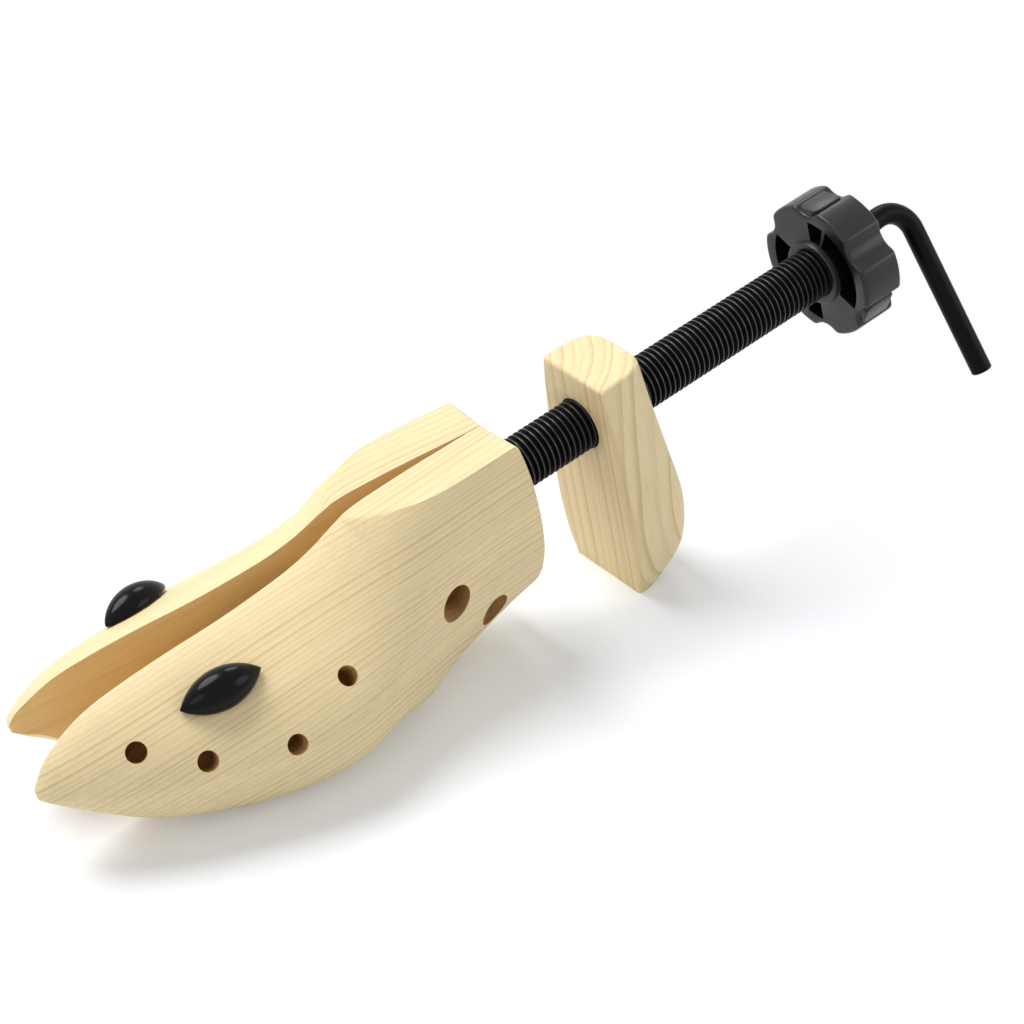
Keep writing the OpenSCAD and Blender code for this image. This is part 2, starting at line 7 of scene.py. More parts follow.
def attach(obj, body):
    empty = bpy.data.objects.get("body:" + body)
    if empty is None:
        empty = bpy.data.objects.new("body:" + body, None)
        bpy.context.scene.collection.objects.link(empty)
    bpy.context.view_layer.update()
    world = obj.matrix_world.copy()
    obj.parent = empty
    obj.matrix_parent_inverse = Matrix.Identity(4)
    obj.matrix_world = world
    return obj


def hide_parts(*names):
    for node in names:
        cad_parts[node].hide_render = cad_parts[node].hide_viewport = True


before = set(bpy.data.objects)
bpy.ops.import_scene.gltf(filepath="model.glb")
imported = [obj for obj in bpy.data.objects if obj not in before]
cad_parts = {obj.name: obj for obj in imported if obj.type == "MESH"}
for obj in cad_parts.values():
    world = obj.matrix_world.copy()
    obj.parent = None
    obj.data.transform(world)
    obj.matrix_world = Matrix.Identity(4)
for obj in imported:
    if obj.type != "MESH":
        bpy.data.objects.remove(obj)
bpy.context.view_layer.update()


# Toe halves. Each is one block of pine, turned and sanded to half a foot's
# forepart, sawn flat inside, drilled for the plugs and bored for the screw.
# Each swings about an upright pin; the left one is a little shorter.

# Everything is laid out along the screw line, which rises from the toe to the
# knob: u runs along it, y is level and v is square to both, in millimetres.
MM = 0.001
TILT = math.radians(11.93)
LINE_ORIGIN = Vector((4.71, 0, 64)) * MM
OPEN = math.radians(3.6)
HINGE_U = -22.0
PIN_Y = 9.0
PIN_HOLE_R = 2.5
SAW_GAP = 0.15
LEFT_TRIM = 6.5
END_ROUND = 2.2
TAIL_END = -6
PLUG_HOLE_R = 3.4
BIG_HOLE_R = 6.3

# distance from the tail, half width, heights of the widest line, top and
# bottom, powers of the upper and lower curve, rise of the sole's inner edge
HALF_ROWS = [
    (TAIL_END, 24.3, -3, 23.9, -44.6, 3.8, 2.1, 0),
    (8, 23.4, -3.5, 24.9, -46.8, 3.8, 2.2, 0),
    (24, 24.4, -4.5, 26.1, -49.2, 3.5, 2.3, 0),
    (40, 26.9, -6, 26.9, -50.6, 2.4, 2.5, 0),
    (52, 31, -8, 26.9, -50.1, 1.62, 2.8, 0),
    (60, 33.6, -9.2, 24.9, -48.4, 1.5, 2.85, 0),
    (68, 35.8, -10.2, 22.4, -46.4, 1.44, 2.7, 0),
    (78, 39.2, -11, 20.6, -44.4, 1.38, 2.7, 0),
    (90, 42.2, -11.2, 20, -41.9, 1.32, 2.85, 0),
    (108, 41, -9.8, 20.1, -38.1, 1.38, 3, 0),
    (128, 35.6, -6.8, 21.3, -33.8, 1.38, 2.8, 0),
    (148, 28.2, -3.5, 21.7, -25.5, 1.46, 2.7, 2.4),
    (160, 22.6, -1.2, 20.7, -17.5, 1.5, 2.8, 5.8),
    (170, 16.2, 0.8, 17.4, -8.5, 1.6, 2.9, 5.8),
    (177, 10.2, 2.2, 13.1, -2.6, 1.75, 2.7, 3.4),
    (181, 5.8, 3.2, 8.6, 0.6, 1.9, 2.2, 1.5),
    (182.8, 3, 3.8, 5.8, 2, 2, 2, 0.4),
]
TOE_END = HALF_ROWS[-1][0]
# distance from the tail, half width of the flat on top, power of the side
# curve beside it
FLAT_ROWS = [
    (TAIL_END, 18.2, 2.4), (24, 18.2, 2.4), (34, 16.8, 2.25), (44, 12.5, 2), (52, 6.5, 1.72), (57, 0, 1.55),
    (60, 0, 1.5),
]
FLAT_END = 57
FLAT_TURN = 73
# distance from the tail, width, height, lean to the toe, lean up
SMALL_HOLES = [
    (154.6, 17.3, 10.7, 20, 40),
    (138.5, 29, 1.1, 11, 33),
    (112.8, 38.7, -6.4, 9, 23),
    (86.6, 33.4, -0.4, -3, 47),
]
# the same, and the depth
BIG_HOLES = [
    (36.5, 26, -11.2, 14, 0, 18),
    (18.6, 19.8, -31.4, -8, -20, 11),
]
# the hole that holds the plug
SEAT_W = 18.4
SEAT_V = 12.2
SEAT_LEAN = (2, 56)


def turned(axis, degrees):
    return Matrix.Rotation(math.radians(degrees), 4, axis)


line_place = Matrix.Translation(LINE_ORIGIN) @ Matrix.Rotation(-TILT, 4, "Y") @ Matrix.Scale(MM, 4)


def half_place(side):
    hinge = Matrix.Translation((HINGE_U, side * PIN_Y, 0))
    back = Matrix.Translation((0, -side * PIN_Y, 0))
    return line_place @ hinge @ Matrix.Rotation(-side * OPEN, 4, "Z") @ back


def hole_way(side, lean_toe, lean_up):
    return turned("Z", side * (90 + lean_toe)) @ turned("Y", 90 - lean_up)


def seat_at(side):
    return 120.5 if side > 0 else 122.5


def along(rows, column, s):
    # a smooth curve through one column of a table
    i = 0
    while i < len(rows) - 2 and s >= rows[i + 1][0]:
        i += 1

    def slope(k):
        a, b = rows[max(k - 1, 0)], rows[min(k + 1, len(rows) - 1)]
        return (b[column] - a[column]) / (b[0] - a[0])

    step = rows[i + 1][0] - rows[i][0]
    f = (s - rows[i][0]) / step
    first = 2 * f ** 3 - 3 * f ** 2 + 1
    leave = f ** 3 - 2 * f ** 2 + f
    arrive = f ** 3 - f ** 2
    return (first * rows[i][column] + leave * step * slope(i)
            + (1 - first) * rows[i + 1][column] + arrive * step * slope(i + 1))


def top_point(s, turn, inner, full, middle, top):
    # the flat first, then the side curve from the crease down to the widest line
    edge = max(0.0, along(FLAT_ROWS, 1, s))
    power = along(FLAT_ROWS, 2, s)
    if turn >= FLAT_TURN:
        w = inner + (90 - turn) / (90 - FLAT_TURN) * max(0.0, edge - inner)
    else:
        start = math.asin(min(1.0, max(edge, inner) / full))
        w = full * math.sin(start + (math.pi / 2 - start) * (FLAT_TURN - turn) / FLAT_TURN)

    def height(x):
        return max(0.0, 1 - min(1.0, x / full) ** power) ** (1 / power)

    return w, middle + (top - middle) * min(1.0, height(w) / height(edge))


def half_point(s, turn, side, trim):
    # the tail end is rounded over
    into = max(0.0, END_ROUND + TAIL_END - s)
    inset = END_ROUND - math.sqrt(END_ROUND ** 2 - into ** 2)
    full = along(HALF_ROWS, 1, s) - inset
    inner = SAW_GAP if s >= 0 else SAW_GAP - s * math.tan(OPEN)
    middle = along(HALF_ROWS, 2, s)
    top = along(HALF_ROWS, 3, s) - inset
    bottom = along(HALF_ROWS, 4, s) + inset
    if turn >= 0 and s < FLAT_END:
        w, v = top_point(s, turn, inner, full, middle, top)
        return Vector((-s, side * w, v))
    # a trimmed toe is drawn back and a little up
    part = max(0.0, (s - 150) / (TOE_END - 150))
    raised = part ** 4 * trim * 1.1
    angle = math.radians(turn)
    power = along(HALF_ROWS, 5 if turn >= 0 else 6, s)
    w = inner + (full - inner) * max(0.0, math.cos(angle)) ** (2 / power)
    if turn >= 0:
        v = middle + raised + (top - middle) * math.sin(angle) ** (2 / power)
    else:
        rest = 1 - (w - inner) / (full - inner)
        lift = along(HALF_ROWS, 7, s) * (1 + trim / 9) * rest * rest
        v = middle + raised + lift - (middle - bottom) * math.sin(-angle) ** (2 / power)
    return Vector((-(s - part ** 2 * trim), side * w, v))


def ramp_w(s):
    # half width of the wear plate's run, which the wedge's cheek follows
    shut, opened, cheek_y, cheek_r, play = 88.0, 68.0, 3.0, 7, 0.35
    path_s = opened * math.cos(OPEN) - (PIN_Y - cheek_y) * math.sin(OPEN)
    path_w = cheek_y * math.cos(OPEN) - opened * math.sin(OPEN) + PIN_Y * (1 - math.cos(OPEN))
    angle = math.atan((cheek_y - path_w) / (shut - path_s))
    return cheek_y + (cheek_r + play) / math.cos(angle) - (shut - s) * math.tan(angle)


def new_object(name, bm, place, smooth=True):
    mesh = bpy.data.meshes.new(name)
    bm.normal_update()
    bm.to_mesh(mesh)
    bm.free()
    mesh.transform(place)
    mesh.update()
    for p in mesh.polygons:
        p.use_smooth = smooth
    obj = bpy.data.objects.new(name, mesh)
    bpy.context.scene.collection.objects.link(obj)
    return obj


def apply_modifiers(obj):
    bpy.context.view_layer.update()
    mesh = bpy.data.meshes.new_from_object(obj.evaluated_get(bpy.context.evaluated_depsgraph_get()))
    obj.modifiers.clear()
    old = obj.data
    obj.data = mesh
    bpy.data.meshes.remove(old)


def sharpen(obj, degrees):
    for p in obj.data.polygons:
        p.use_smooth = True
    obj.data.set_sharp_from_angle(angle=math.radians(degrees))


def round_edges(obj, width, segments, degrees, sharp_from):
    edge = obj.modifiers.new("worn edges", "BEVEL")
    edge.width = width * MM
    edge.segments = segments
    edge.limit_method = "ANGLE"
    edge.angle_limit = math.radians(degrees)
    apply_modifiers(obj)
    sharpen(obj, sharp_from)


def cylinder_at(radius, depth, place, facets=64):
    # a cutter about the place's origin, along its z axis
    bm = bmesh.new()
    bmesh.ops.create_cone(bm, cap_ends=True, segments=facets, radius1=radius, radius2=radius, depth=depth)
    return new_object("cutter", bm, place, False)


def bore_at(radius, depth, middle, place, facets=64):
    # the same along the screw line, about the point u = middle
    return cylinder_at(radius, depth, place @ Matrix.Translation((middle, 0, 0)) @ turned("Y", 90), facets)


def box_at(low, high, place):
    middle = [(a + b) / 2 for a, b in zip(low, high)]
    size = [b - a for a, b in zip(low, high)]
    bm = bmesh.new()
    bmesh.ops.create_cube(bm, size=1.0)
    return new_object("cutter", bm, place @ Matrix.Translation(middle) @ Matrix.Diagonal((*size, 1)), False)


def cut(obj, cutter, material_index):
    # the cut faces take the object's material of that index
    for m in obj.data.materials:
        cutter.data.materials.append(m)
    for p in cutter.data.polygons:
        p.material_index = material_index
    made = obj.modifiers.new("cut", "BOOLEAN")
    made.operation = "DIFFERENCE"
    made.solver = "EXACT"
    made.object = cutter
    apply_modifiers(obj)
    bpy.data.objects.remove(cutter)


def cut_at_ground(obj, first_x, last_x):
    # a flat sole, level with the ground
    wide, deep = 0.1, 0.1
    cut(obj, box_at((first_x, -wide, -deep), (last_x, wide, 0), Matrix.Identity(4)), 0)


def dress(obj, body, slot, *nodes):
    if nodes:
        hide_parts(*nodes)
    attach(obj, body)


def feed(tree, node, inputs):
    # an input takes a value, or the output that feeds it
    for key, value in inputs.items():
        if isinstance(value, bpy.types.NodeSocket):
            tree.links.new(value, node.inputs[key])
        else:
            node.inputs[key].default_value = value


def add(tree, kind, inputs, **settings):
    made = tree.nodes.new("ShaderNode" + kind)
    for key, value in settings.items():
        setattr(made, key, value)
    feed(tree, made, inputs)
    return made


def new_material(name):
    mat = bpy.data.materials.new(name)
    mat.use_nodes = True
    return mat, mat.node_tree, mat.node_tree.nodes["Principled BSDF"]


# Unvarnished pine, sanded. The growth rings are cylinders round a pith far
# from the piece, so long faces show lines and cut ends show curves.
def pine(name, pith, pith_turn, ring, colours, rough, shift, bump=0.35):
    early, middle, late = [(*c, 1) for c in colours]
    mat, tree, bsdf = new_material(name)
    coord = add(tree, "TexCoord", {})
    # block frame: x along the pith, y and z across
    block = add(tree, "Mapping", {"Vector": coord.outputs["Object"], "Location": Vector(pith) * -1,
                                  "Rotation": pith_turn}).outputs[0]
    # slow crookedness of the trunk
    drawn = add(tree, "Mapping", {"Vector": block, "Scale": (0.22, 1, 1),
                                  "Location": (shift, shift * 0.7, 0)})
    crook = add(tree, "TexNoise", {"Vector": drawn.outputs[0], "Scale": 14.0, "Detail": 2.0})
    lean = add(tree, "VectorMath", {0: crook.outputs["Color"], 1: (0, 0.0025, 0.0025), 2: block},
               operation="MULTIPLY_ADD")
    # distance from the pith
    across = add(tree, "VectorMath", {0: lean.outputs[0], 1: (0, 1, 1)}, operation="MULTIPLY")
    away = add(tree, "VectorMath", {0: across.outputs[0]}, operation="LENGTH").outputs["Value"]
    # rings differ in width
    uneven = add(tree, "TexNoise", {"W": away, "Scale": 140.0, "Detail": 2.0}, noise_dimensions="1D")
    widths = add(tree, "Math", {0: uneven.outputs["Fac"], 1: 1.4}, operation="MULTIPLY")
    count = add(tree, "Math", {0: away, 1: 1 / ring, 2: widths.outputs[0]},
                operation="MULTIPLY_ADD").outputs[0]
    phase = add(tree, "Math", {0: count}, operation="FRACT")
    growth = add(tree, "ValToRGB", {0: phase.outputs[0]})
    ramp = growth.color_ramp
    ramp.interpolation = "B_SPLINE"
    ramp.elements[0].color = early
    ramp.elements[1].color = early
    for at, colour in ((0.42, early), (0.68, middle), (0.86, late), (0.93, late), (0.97, early)):
        ramp.elements.new(at).color = colour
    # each ring is a little lighter or darker than the next
    number = add(tree, "Math", {0: count}, operation="FLOOR")
    vary = add(tree, "TexWhiteNoise", {"W": number.outputs[0]}, noise_dimensions="1D")
    strength = add(tree, "MapRange", {"Value": vary.outputs["Value"], "To Min": 0.25, "To Max": 0.95})
    rings = add(tree, "Mix", {"Factor": strength.outputs[0], "A": early, "B": growth.outputs[0]},
                data_type="RGBA")
    # fine fibres and broad clouds, both drawn out along the grain
    fine = add(tree, "Mapping", {"Vector": block, "Scale": (18, 900, 900)})
    fibre = add(tree, "TexNoise", {"Vector": fine.outputs[0], "Scale": 1.0, "Detail": 3.0}).outputs["Fac"]
    streak = add(tree, "MapRange", {"Value": fibre, "From Min": 0.25, "From Max": 0.75,
                                    "To Min": 0.94, "To Max": 1.04})
    broad = add(tree, "Mapping", {"Vector": block, "Scale": (7, 70, 70), "Location": (shift * 3, 0, shift)})
    cloud = add(tree, "TexNoise", {"Vector": broad.outputs[0], "Scale": 1.0, "Detail": 2.0})
    tone = add(tree, "MapRange", {"Value": cloud.outputs["Fac"], "From Min": 0.3, "From Max": 0.7,
                                  "To Min": 0.95, "To Max": 1.03})
    value = add(tree, "Math", {0: tone.outputs[0], 1: streak.outputs[0]}, operation="MULTIPLY")
    shaded = add(tree, "HueSaturation", {"Color": rings.outputs["Result"], "Value": value.outputs[0]})
    lumps = add(tree, "Bump", {"Height": fibre, "Strength": bump, "Distance": 0.12 * MM})
    feed(tree, bsdf, {"Base Color": shaded.outputs[0], "Normal": lumps.outputs[0], "Roughness": rough,
                      "Specular IOR Level": 0.32})
    return mat


def half_block(name, side, trim):
    stations = [TAIL_END, -5.93, -5.72, -5.4, -5, -4.5, -4]
    while stations[-1] < 176:
        stations.append(stations[-1] + 2)
    stations += [177.5, 179, 180.3, 181.3, 182.1, TOE_END]
    turns = [90, 84.5, 78.5] + [FLAT_TURN * (1 - i / 30) for i in range(30)]
    turns += [-90 * i / 32 for i in range(33)]
    n = len(turns)
    bm = bmesh.new()
    rings = [[bm.verts.new(half_point(s, t, side, trim)) for t in turns] for s in stations]
    for a, b in zip(rings, rings[1:]):
        for j in range(n - 1):
            bm.faces.new((a[j], a[j + 1], b[j + 1], b[j]))
        # the flat inner face takes material 1, the sawn pine, made darker and more orange as painted shade
        bm.faces.new((a[n - 1], a[0], b[0], b[n - 1])).material_index = 1
    bm.faces.new(rings[0][::-1])
    bm.faces.new(rings[-1])
    bmesh.ops.recalc_face_normals(bm, faces=bm.faces)
    return new_object(name, bm, half_place(side))


def wedge_pocket(side):
    # between the two wear plates, behind their backs
    first, last, past, half_high, plate = 59, 96, 1, 7.5, 1.6
    plan = [(first, -past), (last, -past), (last, ramp_w(last) + plate), (first, ramp_w(first) + plate)]
    bm = bmesh.new()
    low = [bm.verts.new((-s, side * w, -half_high)) for s, w in plan]
    high = [bm.verts.new((-s, side * w, half_high)) for s, w in plan]
    bm.faces.new(low)
    bm.faces.new(high[::-1])
    for i in range(4):
        bm.faces.new((low[i], high[i], high[(i + 1) % 4], low[(i + 1) % 4]))
    bmesh.ops.recalc_face_normals(bm, faces=bm.faces)
    return new_object("cutter", bm, half_place(side), False)


def toe_half(name, side, trim, outer, sawn_shade, bored_shade):
    place = half_place(side)
    obj = half_block(name, side, trim)
    # the sawn and bored faces take darker copies of the pine, painted shade
    for m in (outer, sawn_shade, bored_shade):
        obj.data.materials.append(m)
    # the screw tube's bore, the pocket of its washer and the key rod's bore
    for radius, depth, middle, facets in ((10.3, 18, 1, 64), (13.2, 13.4, -9.8, 64), (5, 104, -62, 32)):
        cut(obj, bore_at(radius, depth, middle, place, facets), 2)
    # the mortise of the bracket's plate and of its foot
    for first, last, wide, low, high in ((-12.2, -4.8, 9.2, -27, 0), (-12.2, 4, 13.6, -26.4, -21.6)):
        y_low, y_high = sorted((-side, side * wide))
        cut(obj, box_at((first, y_low, low), (last, y_high, high), place), 2)
    cut(obj, wedge_pocket(side), 2)
    cut(obj, cylinder_at(PIN_HOLE_R, 48, place @ Matrix.Translation((0, side * PIN_Y, -36)), 32), 2)
    for s, w, v, toe, up, deep in BIG_HOLES:
        way = place @ Matrix.Translation((-s, side * w, v)) @ hole_way(side, toe, up)
        cut(obj, cylinder_at(BIG_HOLE_R, 30, way @ Matrix.Translation((0, 0, 15 - deep))), 2)
    for s, w, v, toe, up in SMALL_HOLES + [(seat_at(side), SEAT_W, SEAT_V, *SEAT_LEAN)]:
        way = place @ Matrix.Translation((-s, side * w, v)) @ hole_way(side, toe, up)
        cut(obj, cylinder_at(PLUG_HOLE_R, 24.5, way @ Matrix.Translation((0, 0, -0.25)), 48), 2)
    cut_at_ground(obj, -0.3, 0.1)
    round_edges(obj, 0.5, 2, 42, 38)
    return obj


FRESH = ((0.890, 0.725, 0.425), (0.820, 0.640, 0.345), (0.690, 0.505, 0.240))
# the sawn faces are darker and more orange than the outside: painted shade for the gap between the halves;
# their ring figure is the wood's own
SAWN_SHADE_COLOURS = ((0.86, 0.61, 0.28), (0.84, 0.59, 0.265), (0.80, 0.55, 0.24))
# the bores are darker still: painted shade inside the holes, pockets and mortises
BORED_SHADE_COLOURS = ((0.62, 0.38, 0.16), (0.54, 0.32, 0.13), (0.42, 0.24, 0.09))
grain_turn = (0.0, TILT, 0.0)
outer_right = pine("pine_right", (0, -0.135, -0.085), grain_turn, 0.0017, FRESH, 0.52, 0.3)
outer_left = pine("pine_left", (0, 0.135, -0.085), grain_turn, 0.0017, FRESH, 0.52, 1.7)
sawn_pine_shade = pine("pine_sawn_painted_shade", (0, 0.070, 0.042), grain_turn, 0.0042, SAWN_SHADE_COLOURS, 0.75, 0.9, 0.8)
bored_pine_shade = pine("pine_bored_painted_shade", (0, 0.070, 0.042), grain_turn, 0.0035, BORED_SHADE_COLOURS, 0.8, 0.5, 0.9)
half_right = toe_half("toe_half_right_wood", -1, 0.0, outer_right, sawn_pine_shade, bored_pine_shade)
half_left = toe_half("toe_half_left_wood", 1, LEFT_TRIM, outer_left, sawn_pine_shade, bored_pine_shade)
dress(half_right, "half_right", "pine", "toe_half_right")
dress(half_left, "half_left", "pine", "toe_half_left")


# Heel block. One upright block of pine, D-shaped from above, flat towards the
# toe, with a slanting foot. The screw tube passes through a moulded nut that
# is pressed in from the back.
HEEL_FRONT = 21.7
HEEL_TOP = 21.4
HEEL_DEPTH = 29.8
HEEL_CORNER = 1.5
# height, half width, depth, power of the plan
HEEL_ROWS = [
    (-76, 14.5, 4, 2.6), (-72.5, 16.6, 12.5, 2.8), (-67, 18.7, 21.5, 3), (-60, 20.8, 27.6, 3.2),
    (-50, 21.9, 29.6, 3.4), (-38, 22.2, 29.4, 3.6), (-20, 20.6, 26.6, 3.8), (0, 19, 23.4, 4),
    (HEEL_TOP, 16.1, 21.3, 4),
]


def heel_ring(v, inset):
    # half the plan, from the flat front round to the back, then its mirror
    wide, deep, power = (along(HEEL_ROWS, c, v) for c in (1, 2, 3))
    wide -= inset
    deep = deep * HEEL_DEPTH / max(row[2] for row in HEEL_ROWS) - 2 * inset
    corner = min(HEEL_CORNER, 0.3 * deep)
    near = [0, 0.06, 0.2, 0.42, 0.7, 1.05, 1.5, 2.2, 3.1, 4.2]
    turns = [math.asin((x / deep) ** (power / 2)) for x in near if x < 0.5 * deep]
    steps = 46 - len(turns)
    turns += [turns[-1] + (math.pi / 2 - turns[-1]) * k / steps for k in range(1, steps + 1)]
    side = []
    for a in turns:
        back = deep * math.sin(a) ** (2 / power)
        y = wide * max(0.0, math.cos(a)) ** (2 / power)
        if back < corner:
            y -= corner - math.sqrt(corner ** 2 - (corner - back) ** 2)
        side.append((HEEL_FRONT + inset + back, y))
    return side + [(u, -y) for u, y in side[-2::-1]]


def heel_shape():
    # straight up to the rounded top edge
    foot, shoulder = HEEL_ROWS[0][0], HEEL_TOP - HEEL_CORNER
    levels = [(foot + (shoulder - foot) * i / 60, 0.0) for i in range(61)]
    for i in range(1, 7):
        t = math.pi / 2 * i / 6
        levels.append((shoulder + HEEL_CORNER * math.sin(t), HEEL_CORNER * (1 - math.cos(t))))
    bm = bmesh.new()
    rings = [[bm.verts.new((u, y, v)) for u, y in heel_ring(v, inset)] for v, inset in levels]
    n = len(rings[0])
    for a, b in zip(rings, rings[1:]):
        for j in range(n):
            bm.faces.new((a[j], a[(j + 1) % n], b[(j + 1) % n], b[j]))
    bm.faces.new(rings[0][::-1])
    bm.faces.new(rings[-1])
    bmesh.ops.recalc_face_normals(bm, faces=bm.faces)
    return bm


heel = new_object("heel_block_wood", heel_shape(), line_place)
upright_turn = (0.0, math.radians(90) + TILT, 0.0)
heel.data.materials.append(pine("pine_heel", (0, 0.034, -0.014), upright_turn, 0.0036, FRESH, 0.5, 2.3))
heel.data.materials.append(bored_pine_shade)
# the tube's bore, and the nut's seat behind it
# their walls take the darker bored pine, painted shade
for radius, depth, middle in ((9.9, 60, 40), (12, 40, 48)):
    cut(heel, bore_at(radius, depth, middle, line_place, 96), 1)
cut_at_ground(heel, -0.06, 0.14)
round_edges(heel, 0.6, 3, 40, 38)
dress(heel, "heel", "pine", "heel_block")


# Screw tube. One moulded black tube with a round-crested thread over its whole
# outside, its crest band coloured a lighter, shinier black as a painted highlight,
# and a plain journal at the toe end, where it turns in the bracket between a washer and a clip.
TUBE_R = 9.5
ROD_BORE_R = 4.08


def black(name, colour, rough, grain, bump, shine):
    # a fine uneven surface breaks up the reflections
    mat, tree, bsdf = new_material(name)
    coord = add(tree, "TexCoord", {})
    mottle = add(tree, "TexNoise", {"Vector": coord.outputs["Object"], "Scale": grain, "Detail": 3.0})
    noise = mottle.outputs["Fac"]
    shade = add(tree, "Mix", {"Factor": noise, "A": (*[c * 0.75 for c in colour], 1),
                              "B": (*[c * 1.3 for c in colour], 1)}, data_type="RGBA")
    polish = add(tree, "MapRange", {"Value": noise, "To Min": rough - 0.06, "To Max": rough + 0.08})
    lumps = add(tree, "Bump", {"Height": noise, "Strength": bump, "Distance": 0.1 * MM})
    feed(tree, bsdf, {"Base Color": shade.outputs["Result"], "Roughness": polish.outputs[0],
                      "Normal": lumps.outputs[0], "Specular IOR Level": shine})
    return mat


def bridge(bm, a, b):
    for j in range(len(a)):
        bm.faces.new((a[j], a[(j + 1) % len(a)], b[(j + 1) % len(a)], b[j]))


def screw_tube():
    pitch, root, shoulder = 2.29, 8.62, 9.28
    first, last = -26.0, 143.6
    facets = 72
    # one turn of the thread, as shares of the pitch; the crest band, which
    # starts at this index, takes the painted highlight
    profile = [(0.0, root), (0.10, root), (0.26, shoulder), (0.40, TUBE_R), (0.56, TUBE_R),
               (0.70, shoulder), (0.86, root)]
    highlight_row = 3
    step = len(profile)
    turns = [2 * math.pi * j / facets for j in range(facets)]
    circle = [(-math.cos(a), math.sin(a)) for a in turns]
    rows = []
    for k in range(int((last - first) / pitch) + 3):
        for part, r in profile:
            places = [first + (k - 1 + part + j / facets) * pitch for j in range(facets)]
            rows.append([(min(max(u, first), last), r) for u in places])
    bm = bmesh.new()
    grid = [[bm.verts.new((u, r * y, r * z)) for (u, r), (y, z) in zip(row, circle)] for row in rows]

    def flat(i, j):
        # this row and the next are both cut off at the tube's end here
        return abs(rows[i][j][0] - rows[i + 1][j][0]) < 1e-9

    # faces of the crest row take material 1, the painted highlight
    for i in range(len(grid) - 1):
        for j in range(facets - 1):
            if not (flat(i, j) and flat(i, j + 1)):
                face = bm.faces.new((grid[i][j], grid[i][j + 1], grid[i + 1][j + 1], grid[i + 1][j]))
                face.material_index = int(i % step == highlight_row)
        if i + 1 + step < len(grid) and not (flat(i + step, 0) and flat(i, facets - 1)):
            face = bm.faces.new((grid[i][-1], grid[i + step][0], grid[i + 1 + step][0], grid[i + 1][-1]))
            face.material_index = int(i % step == highlight_row)
    for v in [v for v in bm.verts if not v.link_faces]:
        bm.verts.remove(v)
    # the journal with its clip groove, the rod's bore and the far end
    outline = [(first, TUBE_R - 0.05), (first, 7.5), (-33.3, 7.5), (-33.3, 6.6), (-34.7, 6.6), (-34.7, 7.5),
               (-36.1, 7.5), (-36.5, 7.1), (-36.5, ROD_BORE_R), (last, ROD_BORE_R), (last, TUBE_R - 0.05)]
    rings = [[bm.verts.new((u, r * y, r * z)) for y, z in circle] for u, r in outline]
    for a, b in zip(rings, rings[1:]):
        bridge(bm, a, b)
    bmesh.ops.recalc_face_normals(bm, faces=bm.faces)
    return new_object("screw_tube_threaded", bm, line_place)


# the tube's plain black, also used as painted shade inside the knob's pockets
thread_plastic_and_pocket_shade = black("thread_plastic_and_pocket_shade", (0.002, 0.002, 0.0022), 0.40, 900, 0.05, 0.05)
# painted highlight: the crest band's black is lighter and shinier than the rest of the tube
thread_crest_highlight = black("thread_crest_highlight", (0.030, 0.031, 0.034), 0.30, 1500, 0.2, 0.55)
tube = screw_tube()
tube.data.materials.append(thread_plastic_and_pocket_shade)
tube.data.materials.append(thread_crest_highlight)
sharpen(tube, 50)
dress(tube, "screw", "black_plastic", "screw_tube")


# Star knob. Moulded in one with its hub: six broad lobes with hollows between
# them, two ribbed pockets beside the hub and a raised pad in every other
# hollow. It is pressed over the end of the screw tube.
KNOB_U = 134.3
KNOB_R = 26.2
KNOB_THICK = 17.4
HOLLOW_DEPTH = 3.0
HOLLOW_R = 8.2
HOLLOW_FROM = 54
HUB_R = 12.4


def knob_radius(a):
    best = KNOB_R
    for k in range(6):
        d = a - math.radians(60 * k + HOLLOW_FROM)
        centre = KNOB_R - HOLLOW_DEPTH + HOLLOW_R
        under = HOLLOW_R ** 2 - (centre * math.sin(d)) ** 2
        if under > 0 and math.cos(d) > 0:
            best = min(best, centre * math.cos(d) - math.sqrt(under))
    return best


def star_knob():
    facets = 480
    soft = [knob_radius(2 * math.pi * j / facets) for j in range(facets)]
    for _ in range(6):
        soft = [(soft[j - 1] + soft[j] + soft[(j + 1) % facets]) / 3 for j in range(facets)]
    # rings from the hub's mouth over the outside and back through the middle;
    # a ring is round, or the star shape less an inset
    edge = 1.4
    turns = [math.pi / 2 * i / 6 for i in range(7)]
    corner = [(edge * (1 - math.sin(t)), edge * (1 - math.cos(t))) for t in turns]
    mouth = [(-2, 9.5), (-2, 12.0), (-1.85, 12.25), (-1.6, HUB_R), (0, HUB_R), (0, 20.6)]
    back = [(0, 19.9), (-0.3, 19.5), (-1.5, 19.3), (-1.5, 13.2), (-0.3, 13.0), (0, 12.7), (0, 9.8),
            (-0.2, 9.6)]
    inside = [(10.9, 9.6), (10.9, 4.5), (9.4, 4.5), (9.4, 9.5), (-2, 9.5)]
    path = [(z, r, None) for z, r in mouth]
    path += [(z, None, inset) for inset, z in corner]
    path += [(KNOB_THICK - z, None, inset) for inset, z in corner[::-1]]
    path += [(KNOB_THICK + z, r, None) for z, r in back]
    path += [(z, r, None) for z, r in inside]
    bm = bmesh.new()
    rings = []
    for z, r, inset in path:
        ring = []
        for j in range(facets):
            a = 2 * math.pi * j / facets
            q = soft[j] - inset if r is None else r
            ring.append(bm.verts.new((z, q * math.sin(a), -q * math.cos(a))))
        rings.append(ring)
    for a, b in zip(rings, rings[1:]):
        bridge(bm, a, b)
    bmesh.ops.remove_doubles(bm, verts=bm.verts, dist=1e-5)
    bmesh.ops.recalc_face_normals(bm, faces=bm.faces)
    return bm


